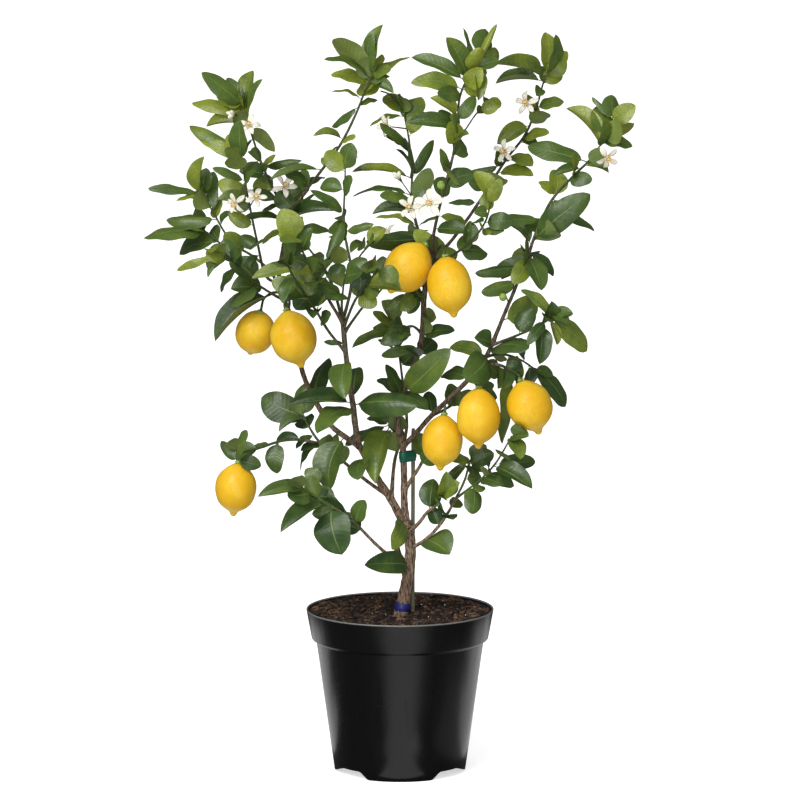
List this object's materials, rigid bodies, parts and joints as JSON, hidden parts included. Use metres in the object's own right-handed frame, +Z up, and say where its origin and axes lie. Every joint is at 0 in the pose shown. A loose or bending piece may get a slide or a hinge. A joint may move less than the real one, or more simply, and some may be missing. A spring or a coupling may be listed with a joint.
{
  "type": "potted lemon tree",
  "caption": "Young lemon tree with ripe fruit and white blossom in a tapered black nursery pot, held to a stake by a tie.",
  "frame": {"origin": "centre of the pot's flat underside, on the surface it stands on", "axes": "+Z up the trunk, -Y towards the viewer, +X to the viewer's right"},
  "size_m": [0.7061, 0.3633, 1.0711],
  "materials": {
    "pot": "satin",
    "soil": "matte",
    "bark": "matte",
    "foliage": "satin",
    "lemon_rind": "satin",
    "petal": "matte",
    "stake": "matte",
    "tie_tape": "satin",
    "graft_band": "satin"
  },
  "bodies": {
    "root": {"base_back": "foliage", "base_left": "foliage", "base_right": "foliage", "buds_1": "petal", "buds_2": "petal", "buds_3": "petal", "centre_back": "foliage", "centre_left": "foliage", "centre_tall": "foliage", "flower_1": "petal", "flower_10": "petal", "flower_11": "petal", "flower_2": "petal", "flower_3": "petal", "flower_4": "petal", "flower_5": "petal", "flower_6": "petal", "flower_7": "petal", "flower_8": "petal", "flower_9": "petal", "graft_band": "graft_band", "left_fork": "foliage", "left_forward": "foliage", "left_inner": "foliage", "left_low": "foliage", "left_side_back": "foliage", "left_side_front": "foliage", "left_side_tall": "foliage", "left_tall": "foliage", "lemon_1": "lemon_rind", "lemon_2": "lemon_rind", "lemon_3": "lemon_rind", "lemon_4": "lemon_rind", "lemon_5": "lemon_rind", "lemon_6": "lemon_rind", "lemon_7": "lemon_rind", "lemon_8": "lemon_rind", "limb_centre": "bark", "limb_left": "bark", "limb_left_back": "bark", "limb_right": "bark", "pot": "pot", "right_back": "foliage", "right_front": "foliage", "right_fruit": "foliage", "right_low_back": "foliage", "right_low_front": "foliage", "right_tall": "foliage", "right_top": "foliage", "soil": "soil", "stake": "stake", "tie_tape": "tie_tape", "top_left": "foliage", "top_middle": "foliage", "trunk": "bark"}
  },
  "joints": []
}
